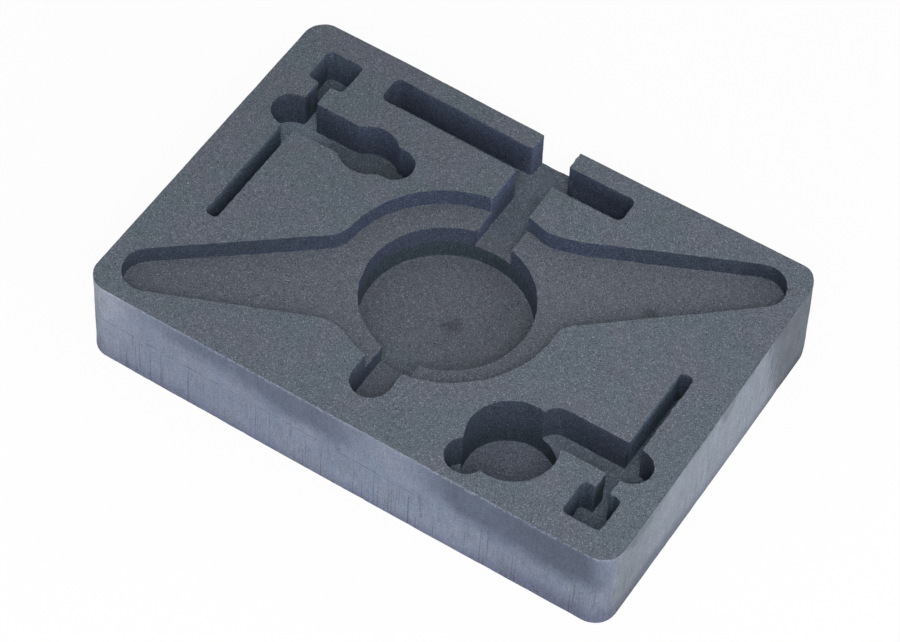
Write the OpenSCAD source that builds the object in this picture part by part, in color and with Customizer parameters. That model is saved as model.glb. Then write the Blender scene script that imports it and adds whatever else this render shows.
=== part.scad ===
// Tool foam insert: one block of closed-cell polyethylene foam that lies in a tool case.
// Its pockets are milled straight down from the top face to three depths, with a small end mill.
// Origin: centre of the bottom face. +X runs along the length, +Y to the back, +Z up. Millimetres.

/* [Block] */
// Length of the block, left to right
block_length = 400; // [385:1:450]
// Width of the block, front to back
block_width = 275; // [266:1:320]
// Thickness of the block
block_height = 74; // [60:1:100]
// Radius of the four upright corners
corner_radius = 16; // [4:1:30]

/* [Milling depths] */
// Depth of the winged ledge, measured from the top face
ledge_depth = 14.5; // [8:0.5:20]
// Depth of the cable channel, the slots and the shallow pockets
pocket_depth = 29.5; // [22:0.5:38]
// Depth of the round tool bore and of the drum pocket
deep_depth = 44.5; // [40:0.5:54]
// Corner radius that the end mill leaves in the pockets
cutter_radius = 4; // [2:0.5:6]

/* [Winged recess] */
// Centre of the round tool bore, to the right of the block's centre
bore_x = -1.2; // [-6:0.2:6]
// Centre of the round tool bore, behind the block's centre
bore_y = -7.8; // [-12:0.2:4]
// Diameter of the round tool bore
bore_diameter = 118; // [90:1:124]
// Width of the ledge that runs round the bore
ledge_width = 20.2; // [14:0.2:24]
// Radius that the wings would have at the block's centre
wing_waist_radius = 46; // [36:1:52]
// Radius of the round wing tips
wing_tip_radius = 17; // [12:0.5:20]
// Foam left between a wing tip and the short side of the block
wing_side_wall = 13.5; // [10:0.5:24]
// Foam left between a wing tip and the long side of the block
wing_end_wall = 12; // [9:0.5:18]
// Radius that blends the wings into the round ledge
wing_blend_radius = 22; // [12:1:26]

/* [Cable channel and finger notch] */
// Width of the channel that leads from the bore out through the back
channel_width = 28; // [20:0.5:34]
// Width of the finger notch in front of the bore
notch_width = 28; // [20:0.5:34]
// Reach of the finger notch from the centre of the bore
notch_reach = 107; // [88:1:116]

/* [Back slot] */
// Length of the slot along the back edge
back_slot_length = 190; // [120:1:220]
// Width of the slot along the back edge
back_slot_width = 22; // [14:0.5:24]
// Foam left behind the slot
back_slot_wall = 14.6; // [9:0.2:18]
// Middle of the slot, to the left of the block's centre
back_slot_offset = 29.8; // [10:0.2:34]
// Corner radius of the slot
back_slot_corner = 5; // [3:0.5:7]

/* [Left tool pocket] */
// Distance from the block's left side to the middle of the stem slot
left_stem_inset = 37.6; // [32:0.2:44]
// Width of the stem slot
left_stem_width = 10; // [6:0.5:14]
// Reach of the stem slot, from the middle of the square end
left_stem_reach = 151; // [120:1:156]
// Side of the square end
left_head_side = 28.2; // [20:0.2:32]
// Foam left between the square end and the block's back
left_head_wall = 20; // [14:0.5:26]
// Distance from the middle of the square end to the middle of the cross pocket
left_cross_drop = 45.4; // [40:0.2:52]
// Width of the cross pocket
left_cross_width = 28; // [20:0.5:32]
// Length of the cross pocket between the centres of its round ends
left_cross_length = 83.4; // [70:0.2:92]
// How far the centre of its outer end lies beyond the stem slot
left_cross_overhang = 6.4; // [0:0.2:8]
// Diameter of the round bulge in the cross pocket
left_bulge_diameter = 42; // [34:1:46]
// Distance from the bulge's centre to the centre of the inner end
left_bulge_inset = 20.9; // [19:0.1:40]
// Radius that blends the bulge into the straight sides
left_bulge_blend = 6; // [2:0.5:7]

/* [Right tool pocket] */
// Distance from the block's right side to the middle of the stem slot
right_stem_inset = 34.6; // [30:0.2:42]
// Width of the stem slot
right_stem_width = 10; // [6:0.5:14]
// Reach of the stem slot, from the middle of the square end
right_stem_reach = 121.4; // [90:0.2:126]
// Side of the square end
right_head_side = 28.2; // [20:0.2:32]
// Foam left between the square end and the block's front
right_head_wall = 18.8; // [14:0.2:24]
// Distance from the middle of the square end to the middle of the cross pocket
right_cross_rise = 40.3; // [34:0.1:46]
// Width of the cross pocket
right_cross_width = 28; // [20:0.5:32]
// Length of the cross pocket between the centres of its round ends
right_cross_length = 54.2; // [46:0.2:60]
// How far the centre of its outer end lies beyond the stem slot
right_cross_overhang = 5.8; // [0:0.2:8]
// Diameter of the deep drum pocket
drum_diameter = 62.4; // [52:0.2:66]
// Distance from the end of the cross pocket to the centre of the drum
drum_distance = 31.8; // [26:0.2:36]
// Direction in which the drum lies from the cross pocket, below the level
drum_angle = 54.7; // [40:0.1:70]
// Diameter of the round nose beyond the drum
nose_diameter = 28; // [20:1:32]
// Distance from the centre of the drum to the centre of the nose
nose_distance = 31.9; // [26:0.1:34]

/* [Hidden] */
$fn = 180;

foam_grey = [0.41, 0.45, 0.49];
overrun = 1; // how far a cut runs past the face it leaves through, or a blend into its neighbour
weld = 0.002; // overlap with which tangent arcs and edges run into each other

bore_centre = [bore_x, bore_y];
ledge_radius = bore_diameter / 2 + ledge_width;
wing_tip = [block_length / 2 - wing_side_wall - wing_tip_radius,
            block_width / 2 - wing_end_wall - wing_tip_radius];

back_slot_y = block_width / 2 - back_slot_wall - back_slot_width / 2;

left_head = [left_stem_inset - block_length / 2,
             block_width / 2 - left_head_wall - left_head_side / 2];
right_head = [block_length / 2 - right_stem_inset,
              right_head_wall + right_head_side / 2 - block_width / 2];

// Places on the two cross pockets, seen from each pocket's own square end
left_cross_out = [-left_cross_overhang, -left_cross_drop];
left_cross_in = left_cross_out + [left_cross_length, 0];
left_bulge = left_cross_in - [left_bulge_inset, 0];
right_cross_out = [right_cross_overhang, right_cross_rise];
right_cross_in = right_cross_out - [right_cross_length, 0];
drum_direction = [-cos(drum_angle), -sin(drum_angle)];
drum = right_cross_in + drum_distance * drum_direction;
nose = drum + nose_distance * drum_direction;

// Rectangle with round corners, centred
module rounded_rectangle(size, radius) {
    square([size[0] - 2 * radius, size[1]], center = true);
    square([size[0], size[1] - 2 * radius], center = true);
    for (sx = [-1, 1], sy = [-1, 1])
        translate([sx * (size[0] / 2 - radius), sy * (size[1] / 2 - radius)])
            circle(radius);
}

// Straight slot with round ends, between two centres on one level
module round_ended_slot(from, to, width) {
    left = min(from[0], to[0]);
    right = max(from[0], to[0]);
    translate([left, from[1] - width / 2]) square([right - left, width]);
    for (end = [from, to]) translate(end) circle(d = width);
}

// Fills the inner corner between a circle and a straight edge with a round blend.
// The edge is the line through all points p with normal * p = offset; side is the way along it.
module blend(centre, radius, normal, offset, side, blend_radius) {
    height = offset + blend_radius - normal * centre;
    run = sqrt(pow(radius + blend_radius, 2) - pow(height, 2));
    middle = centre + height * normal + side * run * [-normal[1], normal[0]];
    difference() {
        polygon([centre, middle, middle - (blend_radius + overrun) * normal]);
        translate(middle) circle(blend_radius + weld);
    }
}

// One tapered wing from the block's centre to a tip, with its two blends into the ledge
module wing(tip) {
    reach = norm(tip);
    along = tip / reach;
    taper = (wing_waist_radius - wing_tip_radius) / reach;
    across = sqrt(1 - taper * taper);
    normals = [for (s = [1, -1]) across * s * [-along[1], along[0]] + taper * along];
    polygon([wing_waist_radius * normals[0], tip + wing_tip_radius * normals[0],
             tip + wing_tip_radius * normals[1], wing_waist_radius * normals[1]]);
    translate(tip) circle(wing_tip_radius + weld);
    for (s = [0, 1])
        blend(bore_centre, ledge_radius, normals[s], wing_waist_radius,
              s == 0 ? -1 : 1, wing_blend_radius);
}

// Outline of the winged ledge: a round seat with a wing to each of two opposite corners
module winged_ledge() {
    translate(bore_centre) circle(ledge_radius);
    wing(wing_tip);
    wing(-wing_tip);
}

// Channel from the bore out through the back of the block
module cable_channel() {
    translate([bore_x - channel_width / 2, bore_y])
        square([channel_width, block_width / 2 - bore_y + overrun]);
}

// Round-ended notch in front of the bore, for a finger under the tool
module finger_notch() {
    straight = notch_reach - notch_width / 2;
    translate([bore_x - notch_width / 2, bore_y - straight]) square([notch_width, straight]);
    translate([bore_x, bore_y - straight]) circle(d = notch_width);
}

// Slot along the back edge, which crosses the channel
module back_slot() {
    translate([-back_slot_offset, back_slot_y])
        rounded_rectangle([back_slot_length, back_slot_width], back_slot_corner);
}

// Square end and stem slot; way is 1 where the stem runs to the back and -1 to the front
module head_and_stem(head_side, stem_width, stem_reach, way) {
    rounded_rectangle([head_side, head_side], cutter_radius);
    translate([0, way * stem_reach / 2])
        rounded_rectangle([stem_width, stem_reach], cutter_radius);
}

// Left pocket: square end, stem slot, and a cross pocket with a round bulge
module left_tool_pocket() {
    translate(left_head) {
        head_and_stem(left_head_side, left_stem_width, left_stem_reach, -1);
        round_ended_slot(left_cross_out, left_cross_in, left_cross_width);
        translate(left_bulge) circle(d = left_bulge_diameter);
        for (up = [-1, 1], side = [-1, 1])
            blend(left_bulge, left_bulge_diameter / 2, [0, up],
                  up * left_bulge[1] + left_cross_width / 2, side, left_bulge_blend);
    }
}

// Right pocket: square end, stem slot and cross pocket
module right_tool_pocket() {
    translate(right_head) {
        head_and_stem(right_head_side, right_stem_width, right_stem_reach, 1);
        round_ended_slot(right_cross_out, right_cross_in, right_cross_width);
    }
}

// Deep end of the right pocket: a drum and its round nose
module drum_pocket() {
    translate(right_head) {
        translate(drum) circle(d = drum_diameter);
        translate(nose) circle(d = nose_diameter);
    }
}

// One milling pass, straight down from the top face
module mill(depth) {
    translate([0, 0, block_height - depth])
        linear_extrude(depth + overrun) children();
}

module foam_insert() {
    color(foam_grey)
    difference() {
        linear_extrude(block_height)
            rounded_rectangle([block_length, block_width], corner_radius);
        mill(ledge_depth) winged_ledge();
        mill(pocket_depth) {
            cable_channel();
            finger_notch();
            back_slot();
            left_tool_pocket();
            right_tool_pocket();
        }
        mill(deep_depth) {
            translate(bore_centre) circle(d = bore_diameter);
            drum_pocket();
        }
    }
}

foam_insert();
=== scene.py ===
from math import atan2, cos, exp, pi, radians, sin

import bmesh
import bpy
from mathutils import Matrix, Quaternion, Vector, noise


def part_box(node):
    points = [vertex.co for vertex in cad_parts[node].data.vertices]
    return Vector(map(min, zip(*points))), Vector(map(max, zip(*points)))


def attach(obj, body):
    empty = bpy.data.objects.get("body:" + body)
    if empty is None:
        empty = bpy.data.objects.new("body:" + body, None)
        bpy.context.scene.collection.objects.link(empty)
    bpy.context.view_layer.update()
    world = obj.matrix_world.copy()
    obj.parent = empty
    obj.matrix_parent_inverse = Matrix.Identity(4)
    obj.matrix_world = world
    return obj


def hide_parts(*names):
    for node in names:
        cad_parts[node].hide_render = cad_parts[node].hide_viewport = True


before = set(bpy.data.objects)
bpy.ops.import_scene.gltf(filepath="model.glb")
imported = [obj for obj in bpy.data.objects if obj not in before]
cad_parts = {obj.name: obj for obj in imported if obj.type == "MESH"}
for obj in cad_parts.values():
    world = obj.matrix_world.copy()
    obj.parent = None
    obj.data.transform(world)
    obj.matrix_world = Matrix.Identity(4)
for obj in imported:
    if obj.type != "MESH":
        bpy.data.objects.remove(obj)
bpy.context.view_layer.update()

scene = bpy.context.scene
scene.view_settings.view_transform = "Standard"
MM = 0.001

# The camera looks down on the block from the front right, from well above, through a long
# lens, and leans a few degrees to one side.
camera_place = Vector((0.6742, -1.2266, 1.8821))
camera_target = Vector((0.0020, -0.0081, 0.0370))
camera_lean = radians(4.2747)
camera_lens = 140.116

camera_data = bpy.data.cameras.new("camera")
camera_data.lens = camera_lens
camera_data.sensor_width = 36
camera_data.clip_start = 0.05
camera_data.clip_end = 50
camera = bpy.data.objects.new("camera", camera_data)
camera.rotation_mode = "QUATERNION"
camera.location = camera_place
aim = (camera_target - camera_place).to_track_quat("-Z", "Y")
camera.rotation_quaternion = aim @ Quaternion((0, 0, 1), camera_lean)
scene.collection.objects.link(camera)
scene.camera = camera

# The shape of the foam block: closed-cell polyethylene foam, two sheets fused at half height
# and sawn to a block, with its pockets milled straight down from the top to three depths.
# Every cut edge is a little soft, and the whole block has crept slightly out of shape.
block_lo, block_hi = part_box("foam_insert")
half_length = block_hi.x
half_width = block_hi.y
top = block_hi.z
corner_radius = 16 * MM
seam_height = 37.4 * MM
seam_slope = 0.016
seam_depth = 0.3 * MM
seam_band = 0.6 * MM
rim_softness = 0.8 * MM
corner_softness = 2.2 * MM
bar_end = Vector((-15.2 * MM, 122.9 * MM, 0))
bar_end_softness = 3.6 * MM
grid_step = 2.8 * MM
side_zone = 1.5 * MM
merge_distance = 0.05 * MM
cut_tolerance = 0.01 * MM
flat_turn = radians(1)
sharp_turn = radians(30)
shading_turn = radians(50)
level_normal = 0.7


def edge_distance(point):
    """How far inside the block's rounded outline a point lies."""
    across = abs(point.x) - half_length + corner_radius
    along = abs(point.y) - half_width + corner_radius
    outside = Vector((max(across, 0), max(along, 0))).length
    return corner_radius - outside - min(max(across, along), 0)


def is_flat(face):
    """Whether a face lies level, rather than upright."""
    return abs(face.normal.z) > level_normal


def flat_sides(edge):
    """How many of the two faces at an edge lie level."""
    return sum(is_flat(face) for face in edge.link_faces)


def everything(mesh):
    return mesh.verts[:] + mesh.edges[:] + mesh.faces[:]


def sharp_edges(mesh, wanted):
    """The outward edges that turn sharply and are wanted."""
    return [edge for edge in mesh.edges
            if edge.is_convex and edge.calc_face_angle() > sharp_turn and wanted(edge)]


def soften(mesh, edges, offset, segments):
    bmesh.ops.bevel(mesh, geom=edges, offset=offset, offset_type="OFFSET", segments=segments,
                    profile=0.5, affect="EDGES", clamp_overlap=True, material=-1)


def cut_across(mesh, point, normal):
    """Adds a line of edges wherever a plane meets the mesh."""
    bmesh.ops.bisect_plane(mesh, geom=everything(mesh), dist=cut_tolerance,
                           plane_co=point, plane_no=normal)


block = bmesh.new()
block.from_mesh(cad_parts["foam_insert"].data)
bmesh.ops.remove_doubles(block, verts=block.verts, dist=merge_distance)
bmesh.ops.dissolve_limit(block, angle_limit=flat_turn, verts=block.verts, edges=block.edges)

# beyond the drum pocket, its round nose is only as deep as the shallow pockets: the deep floor
# is split along the drum's own circle, and the nose's share of it is raised
drum_centre = Vector((98.62 * MM, -90.25 * MM, 0))
drum_radius = 31.2 * MM
nose_centre = Vector((80.19 * MM, -116.29 * MM, 0))
nose_radius = 14 * MM
deep_floor = 29.5 * MM
pocket_floor = 44.5 * MM
wall_tolerance = 0.5 * MM
place_tolerance = 1 * MM
end_tolerance = 0.1 * MM
arc_steps = 16


def off_axis(point, axis):
    """The distance of a point from an upright axis."""
    return (point - axis).to_2d().length


def nose_walls(mesh):
    """The upright faces of the nose, outside the drum."""
    walls = []
    for face in mesh.faces:
        middle = face.calc_center_median()
        on_nose = abs(off_axis(middle, nose_centre) - nose_radius) < wall_tolerance
        off_drum = off_axis(middle, drum_centre) > drum_radius + end_tolerance
        if on_nose and off_drum and not is_flat(face):
            walls.append(face)
    return walls


walls = nose_walls(block)
around = dict.fromkeys(part for face in walls for part in (*face.verts, *face.edges))
bmesh.ops.bisect_plane(block, geom=walls + list(around), dist=cut_tolerance,
                       plane_co=(0, 0, pocket_floor), plane_no=(0, 0, 1))
deep_faces = [face for face in block.faces
              if abs(face.calc_center_median().z - deep_floor) < place_tolerance]
drum_floor = min(deep_faces, key=lambda f: off_axis(f.calc_center_median(), drum_centre))
ends = [vertex for vertex in drum_floor.verts
        if abs(off_axis(vertex.co, nose_centre) - nose_radius) < end_tolerance
        and abs(off_axis(vertex.co, drum_centre) - drum_radius) < end_tolerance]
turns = [atan2(end.co.y - drum_centre.y, end.co.x - drum_centre.x) for end in ends]
sweep = (turns[1] - turns[0] + pi) % (2 * pi) - pi
arc_points = []
for i in range(1, arc_steps):
    turn = turns[0] + sweep * i / arc_steps
    reach = Vector((cos(turn), sin(turn), 0)) * drum_radius
    arc_points.append(drum_centre + reach + Vector((0, 0, deep_floor)))
other_floor = bmesh.utils.face_split(drum_floor, ends[0], ends[1], coords=arc_points)[0]
nose_floor = min((drum_floor, other_floor),
                 key=lambda f: off_axis(f.calc_center_median(), nose_centre))
raised = bmesh.ops.extrude_face_region(block, geom=[nose_floor])["geom"]
raised_points = [part for part in raised if isinstance(part, bmesh.types.BMVert)]
bmesh.ops.translate(block, verts=raised_points, vec=(0, 0, pocket_floor - deep_floor))
block.normal_update()
buried = [face for face in nose_walls(block) if face.calc_center_median().z < pocket_floor]
bmesh.ops.delete(block, geom=buried + [nose_floor], context="FACES")
bmesh.ops.remove_doubles(block, verts=block.verts, dist=merge_distance)

# the upright corners are softened first and the rims after them; the end of the bar behind the
# back slot is worn rounder than the rest
corners = sharp_edges(block, lambda edge: flat_sides(edge) == 0)
worn = [edge for edge in corners if off_axis(edge.verts[0].co, bar_end) < place_tolerance]
corners = [edge for edge in corners if edge not in worn]
soften(block, corners, corner_softness, segments=4)
soften(block, worn, bar_end_softness, segments=6)
rims = sharp_edges(block, lambda edge: flat_sides(edge) == 1)
soften(block, rims, rim_softness, segments=2)

# a grid of edges over the whole block lets its surface creep and roughen
spans = ((Vector((1, 0, 0)), -half_length, half_length),
         (Vector((0, 1, 0)), -half_width, half_width),
         (Vector((0, 0, 1)), 0, top))
for direction, low, high in spans:
    steps = round((high - low) / grid_step)
    for i in range(1, steps):
        cut_across(block, direction * (low + (high - low) * i / steps), direction)

# the seam between the two sheets shows on the sawn sides as a fine groove of uneven depth
for height in (seam_height - seam_band, seam_height, seam_height + seam_band):
    cut_across(block, Vector((0, 0, height)), Vector((seam_slope, 0, 1)))
seam_tolerance = 0.05 * MM
seam_waver = 60
seam_reach = 0.5 * MM
least_groove = 0.1 * MM
for vertex in block.verts:
    off_seam = abs(vertex.co.z + seam_slope * vertex.co.x - seam_height)
    if off_seam < seam_tolerance and edge_distance(vertex.co) < seam_reach:
        groove = seam_depth * (0.6 + 0.6 * noise.noise(vertex.co * seam_waver))
        vertex.co -= vertex.normal * max(groove, least_groove)

# each kind of face has its own material: level, on a sawn side, or in a pocket's wall
FACE, SIDE, WALL = 0, 1, 2
for face in block.faces:
    face.smooth = True
    if is_flat(face):
        face.material_index = FACE
    elif edge_distance(face.calc_center_median()) < side_zone:
        face.material_index = SIDE
    else:
        face.material_index = WALL

# how far the block has crept: the back edge leans in at the gap of the cable channel, the
# right side leans in towards the back, the wings' rims have moved, the corners of the
# underside have lifted, and nothing is quite flat
back_zone = (20 * MM, half_width)
left_lean = 2.1 * MM
left_lean_reach = 125 * MM
right_lean = 1.6 * MM
right_lean_reach = 180 * MM
side_lean = 2.0 * MM
side_lean_start = -60 * MM
side_lean_run = 185 * MM
side_lean_foot = 12 * MM
side_lean_zone = (186 * MM, 199 * MM)
corner_lift = 1.3 * MM
lift_start = Vector((60 * MM, 30 * MM))
lift_run = Vector((140 * MM, 107 * MM))
wing_along = Vector((0.8424, 0.5388, 0))
wing_across = Vector((-0.5388, 0.8424, 0))
wing_reach = 201 * MM
wing_waist = 46 * MM
wing_taper = 0.144
wing_edge_slant = 0.99
wing_margin = (2 * MM, 16 * MM)
wing_root_zone = (62 * MM, 84 * MM)
wing_height_zone = (50 * MM, 58 * MM)
wing_side_zone = (2 * MM, 12 * MM)
wing_creep = 3.1 * MM
wing_turn = 0.6 * MM
wing_middle = 12 * MM
tip_spread = 0.6 * MM
tip_spread_zone = (110 * MM, 190 * MM)
tip_creep = 1.2 * MM
tip_creep_zone = (195 * MM, 210 * MM)
ripple = 0.22 * MM
ripple_scale = 70
roughness = 0.16 * MM
roughness_scale = 330
tear = 0.45 * MM
tear_scale = 400
tear_stretch = 0.3
torn_inside = 2 * MM
noise_seed = 4
dimple_place = Vector((2.6 * MM, -5.6 * MM, 29.5 * MM))
dimple_width = 7 * MM
dimple_depth = 0.8 * MM


def clamp(value, low, high):
    return min(max(value, low), high)


def ramp(value, low, high):
    """0 below low, 1 above high, and a smooth slope between."""
    share = clamp((value - low) / (high - low), 0, 1)
    return share * share * (3 - 2 * share)


def wing_shift(place):
    """How far a place in or near a wing has crept: forward at its root, and wider at its tip."""
    along = place.dot(wing_along)
    across = place.dot(wing_across)
    outside = wing_edge_slant * abs(across) + wing_taper * abs(along) - wing_waist
    share = (1 - ramp(outside, *wing_margin)) * ramp(abs(along), *wing_root_zone)
    share *= ramp(place.z, *wing_height_zone) * ramp(edge_distance(place), *wing_side_zone)
    spread = tip_spread * ramp(abs(along), *tip_spread_zone) * clamp(across / wing_middle, -1, 1)
    inward = tip_creep * ramp(along, *tip_creep_zone)
    forward = wing_creep * (1 - min(abs(along) / wing_reach, 1)) + wing_turn * along / wing_reach
    return (wing_across * (spread - forward) - wing_along * inward) * share


def back_lean(place):
    """How far a place has leant forward: most at the gap, and nothing towards the corners."""
    if place.x < 0:
        lean = left_lean * max(1 + place.x / left_lean_reach, 0)
    else:
        lean = right_lean * max(1 - place.x / right_lean_reach, 0)
    return lean * ramp(place.y, *back_zone) * place.z / top


def right_side_lean(place):
    """How far a place near the right side has leant in: most at its top back corner."""
    lean = side_lean * clamp((place.y - side_lean_start) / side_lean_run, 0, 1)
    lean *= ramp(place.x, *side_lean_zone)
    return lean * max(place.z - side_lean_foot, 0) / (top - side_lean_foot)


def underside_lift(place):
    """How far a place has lifted: most at the corners of the underside."""
    x_share = max(abs(place.x) - lift_start.x, 0) / lift_run.x
    y_share = max(abs(place.y) - lift_start.y, 0) / lift_run.y
    return corner_lift * x_share * y_share * (1 - place.z / top)


noise.seed_set(noise_seed)
for vertex in block.verts:
    place = vertex.co.copy()
    vertex.co += wing_shift(place)
    vertex.co += Vector((-right_side_lean(place), -back_lean(place), underside_lift(place)))
    vertex.co += noise.noise_vector(place * ripple_scale) * ripple
    vertex.co += noise.noise_vector(place * roughness_scale) * roughness
    if edge_distance(place) > torn_inside:
        torn = noise.noise_vector(Vector((place.x, place.y, place.z * tear_stretch)) * tear_scale)
        vertex.co += Vector((torn.x, torn.y, 0)) * tear
    away = (place - dimple_place).length / dimple_width
    vertex.co.z -= dimple_depth * exp(-away * away)
    for i in range(3):
        vertex.co[i] = clamp(vertex.co[i], block_lo[i], block_hi[i])

foam_mesh = bpy.data.meshes.new("foam_block")
block.to_mesh(foam_mesh)
block.free()
foam_mesh.set_sharp_from_angle(angle=shading_turn)
foam = bpy.data.objects.new("foam_block", foam_mesh)
scene.collection.objects.link(foam)
even_shading = foam.modifiers.new("even_shading", "WEIGHTED_NORMAL")
even_shading.keep_sharp = True

# The finish of the foam. Cut cells are open cups about a millimetre wide, with light rims and
# dark insides, painted as highlights on the rims and as shade in the cups. The milled faces show
# them plainly; the sawn sides are paler and smeared.
cell_size = 0.50 * MM
large_cell_size = 3 * cell_size


class Wire:
    """A socket of a material's nodes. Sums and products on it add Math nodes."""

    def __init__(self, tree, socket=None):
        self.tree = tree
        self.socket = socket

    def node(self, kind, settings=None, out=0, **sockets):
        """Adds a node. A socket is named, or numbered as i0, i1 and so on."""
        made = self.tree.nodes.new("ShaderNode" + kind)
        for name, value in (settings or {}).items():
            setattr(made, name, value)
        for name, value in sockets.items():
            numbered = name[0] == "i" and name[1:].isdigit()
            socket = made.inputs[int(name[1:]) if numbered else name.replace("_", " ")]
            if isinstance(value, Wire):
                self.tree.links.new(value.socket, socket)
            else:
                socket.default_value = value
        return Wire(self.tree, made.outputs[out])

    def other(self, number):
        """Another output of the node that this one comes from."""
        return Wire(self.tree, self.socket.node.outputs[number])

    def maths(self, operation, first, second=0.0):
        return self.node("Math", {"operation": operation}, i0=first, i1=second)

    def __add__(self, other):
        return self.maths("ADD", self, other)

    def __sub__(self, other):
        return self.maths("SUBTRACT", self, other)

    def __rsub__(self, other):
        return self.maths("SUBTRACT", other, self)

    def __mul__(self, other):
        return self.maths("MULTIPLY", self, other)

    def __abs__(self):
        return self.maths("ABSOLUTE", self)

    __radd__ = __add__
    __rmul__ = __mul__

    def highest(self, other):
        return self.maths("MAXIMUM", self, other)

    def step(self, low, high):
        """0 below low, 1 above high, and a smooth slope between."""
        return self.node("MapRange", {"interpolation_type": "SMOOTHSTEP"},
                         i0=self, i1=low, i2=high)

    def within(self, low, high, soft):
        """1 between low and high, fading to 0 over a soft margin."""
        return self.step(low - soft, low + soft) * (1 - self.step(high - soft, high + soft))

    def mix(self, colour, other):
        """The first colour where this is 0, and the other where it is 1."""
        return self.node("Mix", {"data_type": "RGBA"}, out=2, i0=self, i6=colour, i7=other)

    def lit(self, factor):
        """This colour times a factor."""
        return self.node("VectorMath", {"operation": "SCALE"}, i0=self, i3=factor)

    def stretched(self, x, y, z):
        """These coordinates times a scale along each axis."""
        return self.node("VectorMath", {"operation": "MULTIPLY"}, i0=self, i1=(x, y, z))

    def noise(self, scale, detail):
        """Soft noise from 0 to 1, of so many waves to the metre and so much fine detail."""
        return self.node("TexNoise", Vector=self, Scale=scale, Detail=detail)


class Foam:
    """A foam material: its nodes, the coordinates, and the pattern of its cut cells."""

    def __init__(self, name):
        self.material = bpy.data.materials.new(name)
        self.material.use_nodes = True
        tree = self.material.node_tree
        self.surface = tree.nodes["Principled BSDF"]
        self.surface.inputs["Roughness"].default_value = 0.9
        self.surface.inputs["Specular IOR Level"].default_value = 0.2
        start = Wire(tree)
        self.place = start.node("TexCoord", out=3)
        self.x = start.node("SeparateXYZ", i0=self.place)
        self.y = self.x.other(1)
        self.z = self.x.other(2)
        cell = start.node("TexVoronoi", out=1, Vector=self.place, Scale=1 / cell_size)
        self.shade = start.node("SeparateXYZ", i0=cell)
        # glint and rim paint highlights on the cells' rims, and hole paints shade in their cups
        self.glint = self.shade.other(1).step(0.84, 0.99)
        self.hole = 1 - self.shade.other(2).step(0.03, 0.08)
        edge = start.node("TexVoronoi", {"feature": "DISTANCE_TO_EDGE"}, Vector=self.place,
                          Scale=1 / large_cell_size)
        broken = self.place.noise(230, 1).step(0.42, 0.62)
        self.rim = (1 - edge.step(0.02, 0.16)) * broken

    def away_from(self, place):
        """The distance from a place."""
        return self.place.node("VectorMath", {"operation": "DISTANCE"}, out=1,
                               i0=self.place, i1=place)

    def finish(self, colour, contrast, relief):
        """Sets the colour, speckled by the cells, and their relief."""
        mean_speck = 0.62  # taken off, so that the specks don't brighten the colour
        darkest = 0.15
        speck = 0.90 * self.shade + 0.3 * self.rim + 2.2 * self.glint - 1.2 * self.hole - mean_speck
        colour = colour.lit((1 + contrast * speck).highest(darkest))
        bump = colour.node("Bump", Strength=0.6, Distance=relief, Height=self.shade + self.rim)
        self.material.node_tree.links.new(colour.socket, self.surface.inputs["Base Color"])
        self.material.node_tree.links.new(bump.socket, self.surface.inputs["Normal"])
        foam_mesh.materials.append(self.material)


def grey(red, green, blue):
    return (red, green, blue, 1)


# the milled floors, the top and the underside: evenly speckled, with faint cool and warm clouds
# and a slightly different tint in each pocket; the middle of the bore has a smudge, and the
# floor of the right wing a scuff
cool_cloud = grey(0.1115, 0.1364, 0.1608)
warm_cloud = grey(0.1218, 0.134, 0.165)
bore_tint = grey(0.123, 0.131, 0.158)
bore_front_tint = grey(0.127, 0.148, 0.177)
ledge_tint = grey(0.1155, 0.1268, 0.1535)
pocket_tint = grey(0.120, 0.145, 0.177)
drum_tint = grey(0.127, 0.145, 0.182)
left_end_tint = grey(0.118, 0.146, 0.178)
pocket_level = (40 * MM, 50 * MM, 2 * MM)
ledge_level = (55 * MM, 64 * MM, 2 * MM)
scuff_place = Vector((114.6 * MM, 56.5 * MM, 59.5 * MM))

cut = Foam("foam_cut_face")
from_bore = cut.away_from(dimple_place)
on_ledge = cut.z.within(*ledge_level)
in_pockets = cut.z.within(*pocket_level)
in_deep = 1 - cut.z.step(30 * MM, 40 * MM)
near_bore = (1 - cut.z.step(45 * MM, 70 * MM)) * (1 - from_bore.step(40 * MM, 150 * MM))
bore_front = in_deep * (1 - cut.y.step(-55 * MM, -15 * MM))
drum = in_deep * from_bore.step(70 * MM, 110 * MM)
right_or_back = cut.x.step(30 * MM, 60 * MM).highest(0.7 * cut.y.step(50 * MM, 70 * MM))
left_pocket = in_pockets * (1 - cut.x.step(-80 * MM, -40 * MM))
left_end = left_pocket * (1 - cut.x.step(-160 * MM, -135 * MM))
left_head = cut.y.step(80 * MM, 92 * MM)
back_left = (1 - cut.x.step(-60 * MM, 60 * MM)) * cut.y.step(-20 * MM, 70 * MM)
# painted light: the cut faces grow a shade lighter towards the right
painted_light_to_right = cut.x.step(-160 * MM, 130 * MM)
frayed_spot = (cut.place.noise(160, 2) - 0.5) * (9 * MM)
smudge = 1 - (frayed_spot + from_bore).step(2 * MM, 11 * MM)
scuff = 1 - (frayed_spot + cut.away_from(scuff_place)).step(1 * MM, 7 * MM)

colour = cut.place.noise(28, 3).step(0.35, 0.65).mix(cool_cloud, warm_cloud)
colour = (0.6 * near_bore).mix(colour, bore_tint)
colour = (0.8 * on_ledge).mix(colour, ledge_tint)
colour = bore_front.mix(colour, bore_front_tint)
colour = (in_pockets * right_or_back).mix(colour, pocket_tint)
colour = drum.mix(colour, drum_tint)
tone = (1.01 + 0.05 * painted_light_to_right - 0.06 * back_left) * (1 - 0.34 * smudge) * (1 - 0.32 * scuff)
colour = left_end.mix(colour.lit(tone), left_end_tint)
tone = 1 - 0.14 * left_pocket + (0.80 - 0.52 * left_head) * left_end
cut.finish(colour.lit(tone), contrast=0.55, relief=0.3 * MM)
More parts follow.
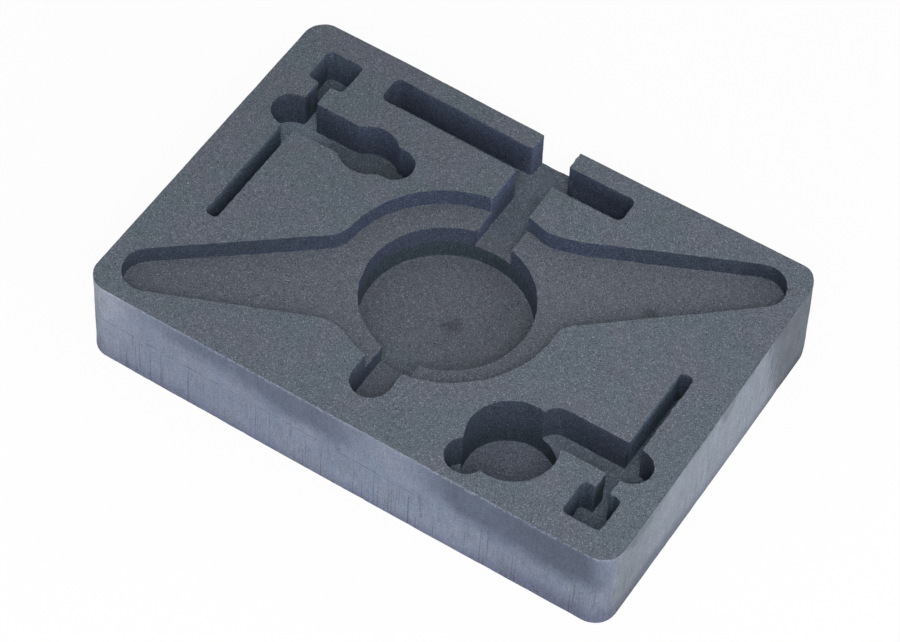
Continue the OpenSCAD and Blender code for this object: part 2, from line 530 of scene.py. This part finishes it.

# the sawn sides: paler, with smears, a few upright scratches, darker bluer patches, a light
# frayed top edge with a painted highlight, and painted shade along the lower edge; the right side
# is greyer than the rest and also painted lighter, as painted light
side_cool = grey(0.205, 0.233, 0.304)
# the right side's colours are greyer, and their extra lightness is painted light
side_cooler = grey(0.193, 0.232, 0.314)
right_lit_cool = grey(0.264, 0.291, 0.342)
right_lit_cooler = grey(0.256, 0.294, 0.348)
patch_blue = grey(0.192, 0.232, 0.326)
corner_grey = grey(0.226, 0.238, 0.288)
low_shade_blue = grey(0.188, 0.205, 0.318)
frayed_highlight_grey = grey(0.224, 0.246, 0.292)

side = Foam("foam_sawn_side")
depth = top - side.z
wander = side.place.noise(38, 4) - 0.5
ragged = side.place.noise(190, 2) - 0.5
streaks = side.place.stretched(1, 1, 0.10).noise(560, 2) - 0.5
smears = side.place.stretched(1, 1, 0.5).noise(110, 3) - 0.5
scratches = side.place.stretched(1, 1, 0.016).noise(950, 0).step(0.66, 0.76)
scratches = scratches * depth.step(22 * MM, 48 * MM)
pits = side.place.stretched(1, 1, 0.35).noise(900, 0).step(0.68, 0.80)

# the seam's fine dark line, broken here and there
seam_line = 0.3 * MM
below_seam = depth - seam_slope * side.x + ragged * (0.6 * MM) - (top - seam_height)
seam = below_seam.within(-seam_line, seam_line, 0.25 * MM)
seam = seam * side.place.noise(130, 1).step(0.42, 0.56) * (1 - side.x.step(60 * MM, 100 * MM))

# which side a place is on; the right side's own lean is put back first
lean_rate = side_lean / (side_lean_run * (top - side_lean_foot))
leaning = (side.y - side_lean_start).highest(0) * (side.z - side_lean_foot).highest(0) * lean_rate
right = (side.x + leaning).step(half_length - 3.0 * MM, half_length - 0.1 * MM)
front = 1 - side.y.step(4 * MM - half_width, 12 * MM - half_width)

# two darker, bluer patches under the front rim, left and right of its middle
wavy_x = side.x + wander * (40 * MM)
wavy_depth = depth + wander * (22 * MM) + ragged * (6 * MM)
left_reach = 12 * MM + 13 * MM * side.x.step(-140 * MM, -50 * MM)
left_patch = wavy_x.step(-180 * MM, -90 * MM) * (1 - wavy_x.step(-28 * MM, 36 * MM))
left_patch = left_patch * (1 - (wavy_depth - left_reach).step(-9 * MM, 9 * MM))
right_depth = wavy_depth + 0.3 * (110 * MM - side.x).highest(0)
right_end = side.x - 0.3 * depth + wander * (12 * MM)
right_patch = wavy_x.step(40 * MM, 90 * MM) * (1 - right_end.step(177 * MM, 199 * MM))
right_patch = right_patch * (1 - right_depth.step(26 * MM, 46 * MM))
patch = front * (0.86 * left_patch).highest(right_patch)

# paler and darker ends, the frayed rim with its painted highlight, the painted shade along the
# lower edge, and the right side's painted shadow under its rim
pale_corner = (1 - side.x.step(-188 * MM, -150 * MM)) * (1 - 0.6 * depth.step(15 * MM, 45 * MM))
to_right_end = side.x.step(90 * MM, 160 * MM)
dim_end = to_right_end * (1 - side.y.step(-120 * MM, -60 * MM))
low_end = to_right_end * (1 - side.y.step(-45 * MM, -10 * MM))
back_start = side.y - 0.25 * depth + wander * (25 * MM) + streaks * (50 * MM)
back_end = right * back_start.step(57 * MM, 77 * MM)
front_end = right * (1 - (side.y + wander * (30 * MM)).step(-125 * MM, -20 * MM))
# the top edge is frayed, and its light band is partly a painted highlight
frayed_highlight = (1 - (depth + ragged * (5 * MM)).step(0.8 * MM, 3.6 * MM))
frayed_highlight = frayed_highlight * side.place.noise(620, 1).step(0.36, 0.58)
# painted shade: the sides grow darker and bluer towards their lower edge, in a ragged, streaky band
low_shade_depth = depth + ragged * (10 * MM) + (streaks + wander * right) * (22 * MM)
low_shade_depth = low_shade_depth + 7 * MM * low_end - 3 * MM * side.x.within(-70 * MM, 95 * MM, 20 * MM)
low_shade = low_shade_depth.step(58 * MM, 76 * MM)
# painted shadow: a dark band under the right side's rim, reaching deeper in two places
rim_shadow_depth = wavy_depth - 14 * MM * side.y.within(4 * MM, 18 * MM, 6 * MM)
rim_shadow_depth = rim_shadow_depth - 9 * MM * side.y.within(-118 * MM, -62 * MM, 10 * MM)
painted_rim_shadow = right * (1 - rim_shadow_depth.step(-3 * MM, 4 * MM))

tone = 1 + (0.26 + 0.30 * depth.step(30 * MM, 60 * MM) + 0.20 * right) * streaks
tone = tone + 0.32 * smears + 0.25 * wander - 0.29 * scratches - 0.25 * pits
tone = tone * (1 - 0.46 * patch) * (1 + 0.34 * pale_corner) * (1 + 0.80 * frayed_highlight * (0.22 + patch))
tone = tone * (1 - (0.25 + 0.07 * right) * low_shade) * (1 - 0.46 * back_end) * (1 - 0.12 * front_end)
tone = tone * (1 - 0.24 * painted_rim_shadow) * (1 - 0.36 * seam) * (1 - 0.13 * dim_end)
hue = side.place.noise(55, 3).step(0.38, 0.62)
colour = (0.8 * hue).mix(right.mix(side_cool, right_lit_cool), right.mix(side_cooler, right_lit_cooler))
colour = patch.mix(colour, patch_blue)
colour = (0.8 * pale_corner).mix(colour, corner_grey)
colour = ((0.7 - 0.3 * right) * low_shade).mix(colour, low_shade_blue)
colour = (0.6 * frayed_highlight * front).mix(colour, frayed_highlight_grey)
side.finish(colour.lit(tone), contrast=0.20, relief=0.15 * MM)

# the milled walls: dark, with the cutter's upright marks, bluish just under the top and
# greener and darker where the cutter went deeper; narrow slots, square ends and the gap's ends
# are lifted by painted light
upper_blue = grey(0.048, 0.062, 0.091)
upper_arc_blue = grey(0.053, 0.070, 0.113)
middle_blue = grey(0.049, 0.063, 0.091)
middle_arc_blue = grey(0.056, 0.069, 0.109)
deep_green = grey(0.045, 0.062, 0.080)
slot_green = grey(0.044, 0.060, 0.083)
arc_place = Vector((-30 * MM, 60 * MM, 66 * MM))

wall = Foam("foam_milled_wall")
marks = wall.place.stretched(1, 1, 0.25).noise(600, 2) - 0.5
wavy_height = wall.z + marks * (2 * MM)
deep = 1 - wavy_height.step(43.5 * MM, 45.5 * MM)
middle = 1 - wavy_height.step(58 * MM, 61 * MM)
high = wall.z.step(48 * MM, 62 * MM)
arc = 1 - wall.away_from(arc_place).step(80 * MM, 135 * MM)
on_right = wall.x.step(-100 * MM, 100 * MM)
slot = abs(wall.x).within(154 * MM, 174 * MM, 1 * MM)
slot = slot * wall.y.within(-48 * MM, 44 * MM - 31 * MM * on_right, 1 * MM)
behind_cross = wall.y.step(-82 * MM, -80 * MM)
square_end = wall.x.within(148 * MM, 173.5 * MM, 1 * MM) * (1 - behind_cross)
its_left = 1 - wall.x.step(152 * MM, 153.5 * MM)
left_square_end = (1 - wall.x.step(-150 * MM, -148 * MM)) * wall.y.step(78 * MM, 82 * MM)
cross_end = wall.x.step(168 * MM, 176 * MM) * behind_cross
gap = wall.x.within(-16.4 * MM, -14 * MM, 0.4 * MM)
gap = gap * abs(wall.y + 7.8 * MM).step(58.5 * MM, 60 * MM)
right_of_gap = wall.x.step(16 * MM, 18 * MM) * wall.y.step(115 * MM, 119 * MM)
corner = wall.x.step(115 * MM, 140 * MM) * (1 - wall.y.step(-55 * MM, -45 * MM))

colour = arc.mix(upper_blue, upper_arc_blue)
colour = middle.mix(colour, arc.mix(middle_blue, middle_arc_blue))
colour = deep.mix(colour, deep_green)
colour = (slot + square_end).mix(colour, slot_green)
# painted light: lifts the shade in the narrow slots, the square ends and the ends of the gap
painted_light = (0.9 + 0.5 * on_right) * slot + 0.45 * gap + 0.5 * left_square_end
painted_light = painted_light + square_end * (0.25 + 0.28 * high + 0.25 * its_left)
painted_light = painted_light + right_of_gap * (0.34 - 0.50 * high)
tone = (1 + painted_light - 0.18 * corner - 0.20 * cross_end) * (1 + 0.5 * marks)
wall.finish(colour.lit(tone), contrast=0.6, relief=0.3 * MM)

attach(foam, "root")
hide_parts("foam_insert")

# The stage: a plain pale floor, a white world, and soft lamps from above, the front and the
# right.
floor_size = 6
floor_drop = 0.1 * MM
floor_glow = 0.94
sky_light = 0.48
lamp_target = Vector((0, 0, 0.04))

floor_shape = bmesh.new()
bmesh.ops.create_grid(floor_shape, x_segments=1, y_segments=1, size=floor_size / 2)
bmesh.ops.translate(floor_shape, verts=floor_shape.verts, vec=(0, 0, -floor_drop))
floor_mesh = bpy.data.meshes.new("floor")
floor_shape.to_mesh(floor_mesh)
floor_shape.free()
floor = bpy.data.objects.new("floor", floor_mesh)
scene.collection.objects.link(floor)

floor_paint = bpy.data.materials.new("floor")
floor_paint.use_nodes = True
surface = floor_paint.node_tree.nodes["Principled BSDF"]
surface.inputs["Base Color"].default_value = grey(0.9, 0.9, 0.9)
surface.inputs["Roughness"].default_value = 0.9
surface.inputs["Specular IOR Level"].default_value = 0
# the camera sees the floor as nearly white, and the block gets its soft light back
paint = Wire(floor_paint.node_tree, surface.outputs[0])
seen = paint.node("LightPath")
white = paint.node("Emission", Color=grey(1, 1, 1), Strength=1.0)
mixed = paint.node("MixShader", i0=seen * floor_glow, i1=paint, i2=white)
paint.tree.links.new(mixed.socket, paint.tree.nodes["Material Output"].inputs["Surface"])
floor_mesh.materials.append(floor_paint)

world = bpy.data.worlds.new("world")
world.use_nodes = True
scene.world = world
# the world is white to the camera and in reflections, and dimmer as a light
sky = Wire(world.node_tree)
rays = sky.node("LightPath").socket.node.outputs
plain = Wire(sky.tree, rays["Is Camera Ray"]) + Wire(sky.tree, rays["Is Glossy Ray"])
plain = plain + Wire(sky.tree, rays["Is Transmission Ray"])
strength = plain.step(0, 1) * (1 - sky_light) + sky_light
background = sky.tree.nodes["Background"]
background.inputs["Color"].default_value = grey(1, 1, 1)
sky.tree.links.new(strength.socket, background.inputs["Strength"])


def soft_lamp(name, place, size, power):
    data = bpy.data.lights.new(name, "AREA")
    data.shape = "DISK"
    data.size = size
    data.energy = power
    lamp = bpy.data.objects.new(name, data)
    lamp.location = place
    lamp.rotation_mode = "QUATERNION"
    lamp.rotation_quaternion = (lamp_target - Vector(place)).to_track_quat("-Z", "Y")
    scene.collection.objects.link(lamp)


soft_lamp("high_lamp", place=(0.9, -1.5, 2.2), size=1.0, power=31)
soft_lamp("front_lamp", place=(0.5, -2.2, 1.1), size=1.4, power=10)
soft_lamp("right_lamp", place=(2.2, -0.4, 1.1), size=1.4, power=16)
